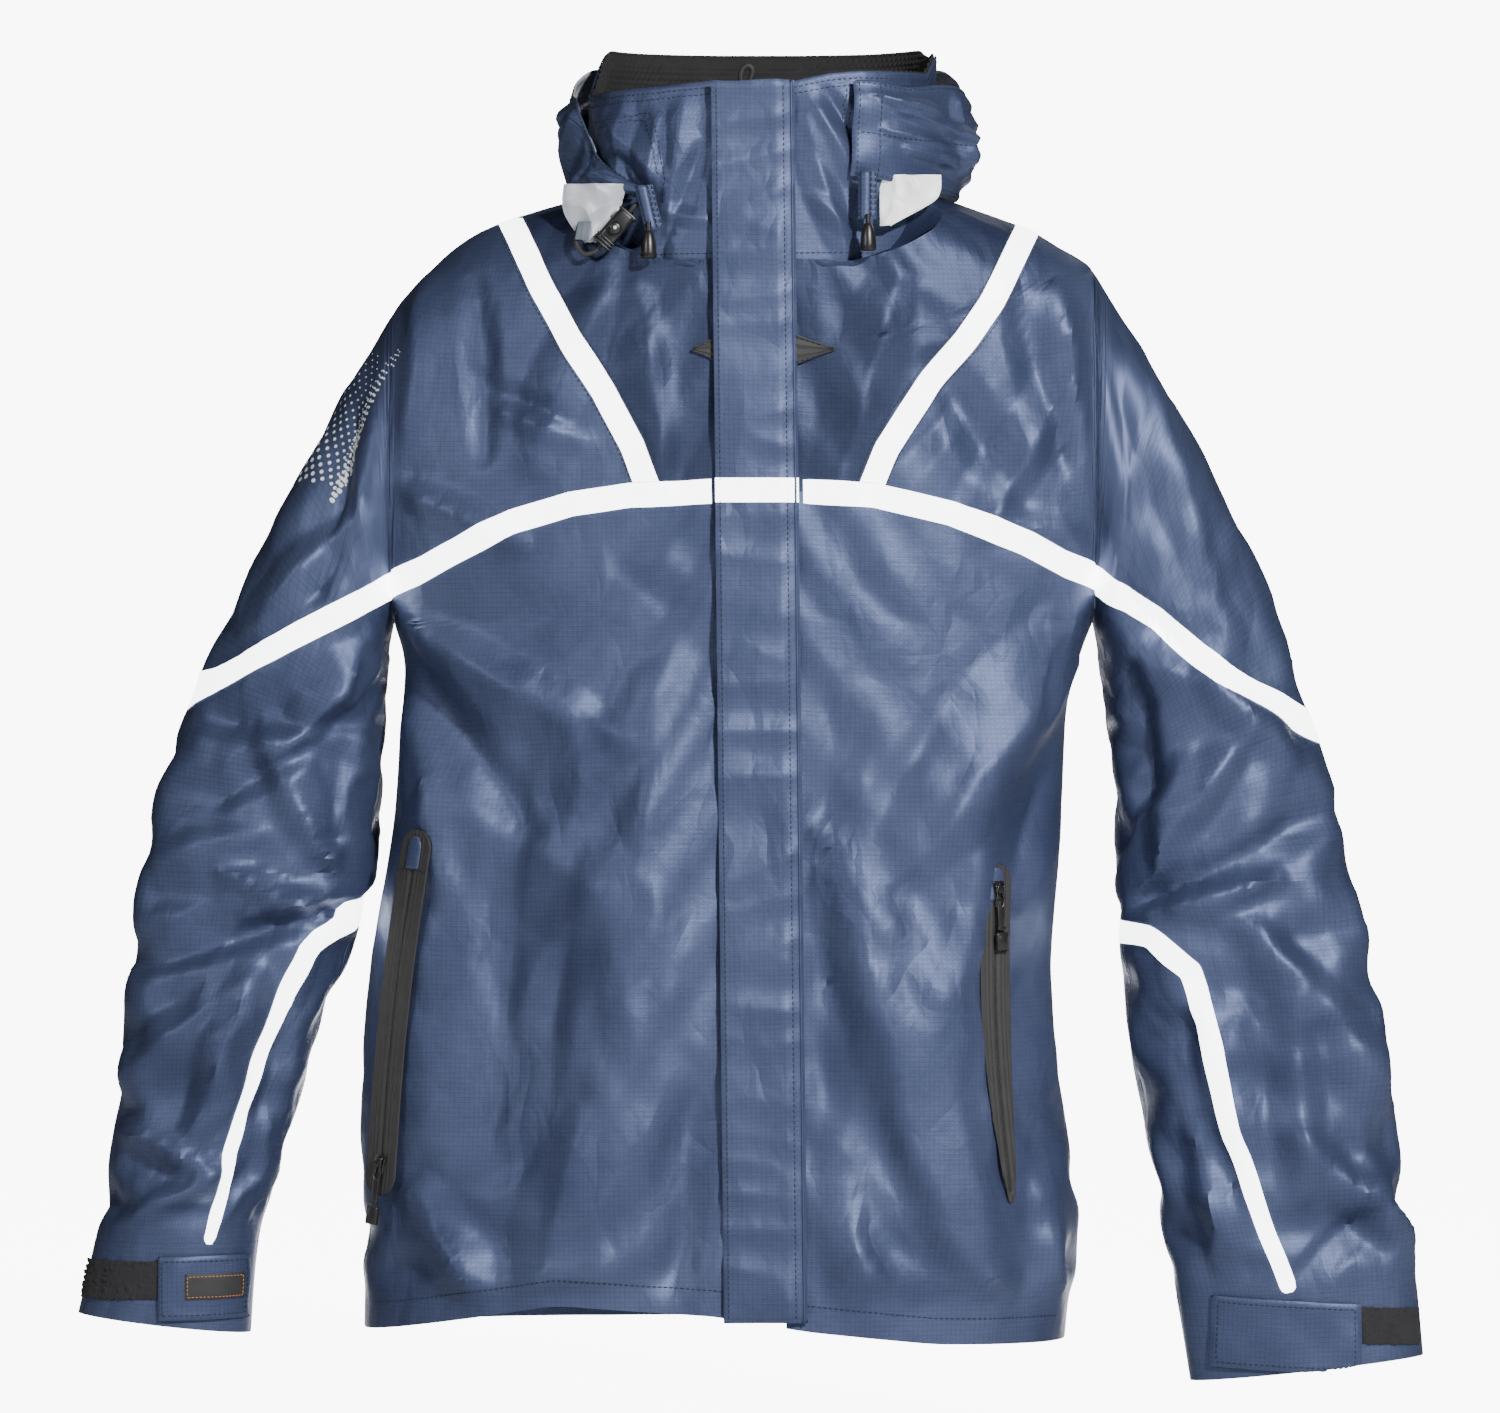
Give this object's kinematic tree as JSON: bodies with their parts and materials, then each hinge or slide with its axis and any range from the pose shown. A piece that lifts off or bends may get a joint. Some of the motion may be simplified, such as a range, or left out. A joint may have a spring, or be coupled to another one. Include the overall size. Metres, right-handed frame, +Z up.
{
  "type": "foul weather jacket",
  "caption": "Hooded sailing jacket with a tall collar, storm flap over a zip, reflective tape, zipped pockets and hook-and-loop cuffs, hung by its neck loop.",
  "frame": {"origin": "crown of the hanging loop inside the back neck", "axes": "+Z up, -Y towards the jacket's front, -X towards the wearer's right"},
  "size_m": [0.89, 0.2517, 0.8777],
  "materials": {
    "navy_ripstop": "coated nylon ripstop with a satin sheen",
    "dark_ripstop": "coated nylon ripstop with a satin sheen",
    "reflective_tape": "bonded reflective tape",
    "black_fleece": "black knitted mesh fleece",
    "silver_lining": "silver-grey coated lining",
    "black_webbing": "woven tape",
    "black_plastic": "moulded, slightly glossy",
    "black_reinforcement": "coated reinforcement fabric",
    "loop_tape": "loop pile",
    "pocket_welt": "matt laminated film",
    "black_cord": "braided cord"
  },
  "bodies": {
    "torso": {"right_front_panel": "navy_ripstop", "left_front_panel": "navy_ripstop", "back_panel": "navy_ripstop", "right_shoulder_panel": "navy_ripstop", "left_shoulder_panel": "navy_ripstop", "hood_cover": "navy_ripstop", "inner_placket": "navy_ripstop", "right_front_yoke": "dark_ripstop", "left_front_yoke": "dark_ripstop", "back_yoke": "dark_ripstop", "right_collar_front": "dark_ripstop", "left_collar_front": "dark_ripstop", "collar_back": "dark_ripstop", "right_chest_tape": "reflective_tape", "left_chest_tape": "reflective_tape", "right_shoulder_tape": "reflective_tape", "left_shoulder_tape": "reflective_tape", "back_chest_tape": "reflective_tape", "collar_fleece": "black_fleece", "stowed_hood": "silver_lining", "hanging_loop": "black_webbing", "right_zip_tape": "black_webbing", "left_zip_tape": "black_webbing", "main_zip_chain": "black_plastic", "right_reinforcement": "black_reinforcement", "left_reinforcement": "black_reinforcement", "hood_cord": "black_cord", "right_pocket_welt": "pocket_welt", "right_pocket_zip_coil": "black_plastic", "right_pocket_bag": "silver_lining", "left_pocket_welt": "pocket_welt", "left_pocket_zip_coil": "black_plastic", "left_pocket_bag": "silver_lining"},
    "storm_flap": {"storm_flap": "navy_ripstop", "flap_tape": "reflective_tape"},
    "main_zip_slider": {"main_zip_slider": "black_plastic", "main_zip_pull": "black_plastic"},
    "cord_lock": {"cord_lock_body": "black_plastic"},
    "cord_lock_plunger": {"cord_lock_plunger": "black_plastic"},
    "right_cord_end": {"right_cord_end": "black_plastic"},
    "left_cord_end": {"left_cord_end": "black_plastic"},
    "right_sleeve": {"right_upper_sleeve": "navy_ripstop", "right_sleeve_tape": "reflective_tape"},
    "right_forearm": {"right_forearm": "navy_ripstop", "right_forearm_tape": "reflective_tape", "right_cuff": "dark_ripstop", "right_cuff_loop_patch": "loop_tape"},
    "right_cuff_tab": {"right_cuff_tab": "dark_ripstop"},
    "right_pocket_zip_slider": {"right_pocket_zip_slider": "black_plastic"},
    "right_pocket_zip_pull": {"right_pocket_zip_pull": "black_plastic"},
    "left_sleeve": {"left_upper_sleeve": "navy_ripstop", "left_sleeve_tape": "reflective_tape"},
    "left_forearm": {"left_forearm": "navy_ripstop", "left_forearm_tape": "reflective_tape", "left_cuff": "dark_ripstop", "left_cuff_loop_patch": "loop_tape"},
    "left_cuff_tab": {"left_cuff_tab": "dark_ripstop"},
    "left_pocket_zip_slider": {"left_pocket_zip_slider": "black_plastic"},
    "left_pocket_zip_pull": {"left_pocket_zip_pull": "black_plastic"}
  },
  "joints": [
    {"name": "storm_flap_hinge", "type": "hinge", "parent": "torso", "child": "storm_flap", "pos_m": [0.0293, -0.1665, 0.085], "axis": [-0.0105, 0.04, 0.9991], "range_deg": [0, 150]},
    {"name": "main_zip_slide", "type": "slide", "parent": "torso", "child": "main_zip_slider", "axis": [0.0105, -0.04, -0.9991], "range_m": [0, 0.775]},
    {"name": "right_sleeve_lift", "type": "hinge", "parent": "torso", "child": "right_sleeve", "pos_m": [-0.2382, -0.062, -0.059], "axis": [0, 1, 0], "range_deg": [0, 70]},
    {"name": "right_elbow_bend", "type": "hinge", "parent": "right_sleeve", "child": "right_forearm", "pos_m": [-0.3245, -0.139, -0.43], "axis": [-1, 0, 0], "range_deg": [0, 90]},
    {"name": "right_cuff_tab_hinge", "type": "hinge", "parent": "right_forearm", "child": "right_cuff_tab", "pos_m": [-0.3337, -0.1204, -0.705], "axis": [0, 0, 1], "range_deg": [0, 110]},
    {"name": "right_pocket_zip_slide", "type": "slide", "parent": "torso", "child": "right_pocket_zip_slider", "axis": [0.1069, 0.0038, 0.9943], "range_m": [0, 0.201]},
    {"name": "right_pocket_pull_swing", "type": "hinge", "parent": "right_pocket_zip_slider", "child": "right_pocket_zip_pull", "pos_m": [-0.2442, -0.151, -0.62113], "axis": [-0.7722, 0.6303, 0.0806], "range_deg": [0, 150]},
    {"name": "left_sleeve_lift", "type": "hinge", "parent": "torso", "child": "left_sleeve", "pos_m": [0.2272, -0.062, -0.0318], "axis": [0, -1, 0], "range_deg": [0, 70]},
    {"name": "left_elbow_bend", "type": "hinge", "parent": "left_sleeve", "child": "left_forearm", "pos_m": [0.3185, -0.139, -0.435], "axis": [-1, 0, 0], "range_deg": [0, 90]},
    {"name": "left_cuff_tab_hinge", "type": "hinge", "parent": "left_forearm", "child": "left_cuff_tab", "pos_m": [0.3027, -0.1236, -0.735], "axis": [0, 0, -1], "range_deg": [0, 110]},
    {"name": "left_pocket_zip_slide", "type": "slide", "parent": "torso", "child": "left_pocket_zip_slider", "axis": [0.0454, -0.0344, -0.9984], "range_m": [0, 0.184]},
    {"name": "left_pocket_pull_swing", "type": "hinge", "parent": "left_pocket_zip_slider", "child": "left_pocket_zip_pull", "pos_m": [0.16195, -0.16211, -0.4415], "axis": [-0.8534, -0.5208, -0.0209], "range_deg": [0, 150]},
    {"name": "cord_lock_slide", "type": "slide", "parent": "torso", "child": "cord_lock", "axis": [-0.6594, 0, -0.7518], "range_m": [0, 0.006]},
    {"name": "cord_lock_press", "type": "slide", "parent": "cord_lock", "child": "cord_lock_plunger", "axis": [0, 1, 0], "range_m": [0, 0.0022], "stiffness_N_per_m": 900},
    {"name": "right_cord_end_swing", "type": "hinge", "parent": "torso", "child": "right_cord_end", "pos_m": [-0.067, -0.17272, -0.008], "axis": [0, 1, 0], "range_deg": [-20, 20]},
    {"name": "left_cord_end_swing", "type": "hinge", "parent": "torso", "child": "left_cord_end", "pos_m": [0.076, -0.17252, -0.003], "axis": [0, 1, 0], "range_deg": [-20, 20]}
  ]
}
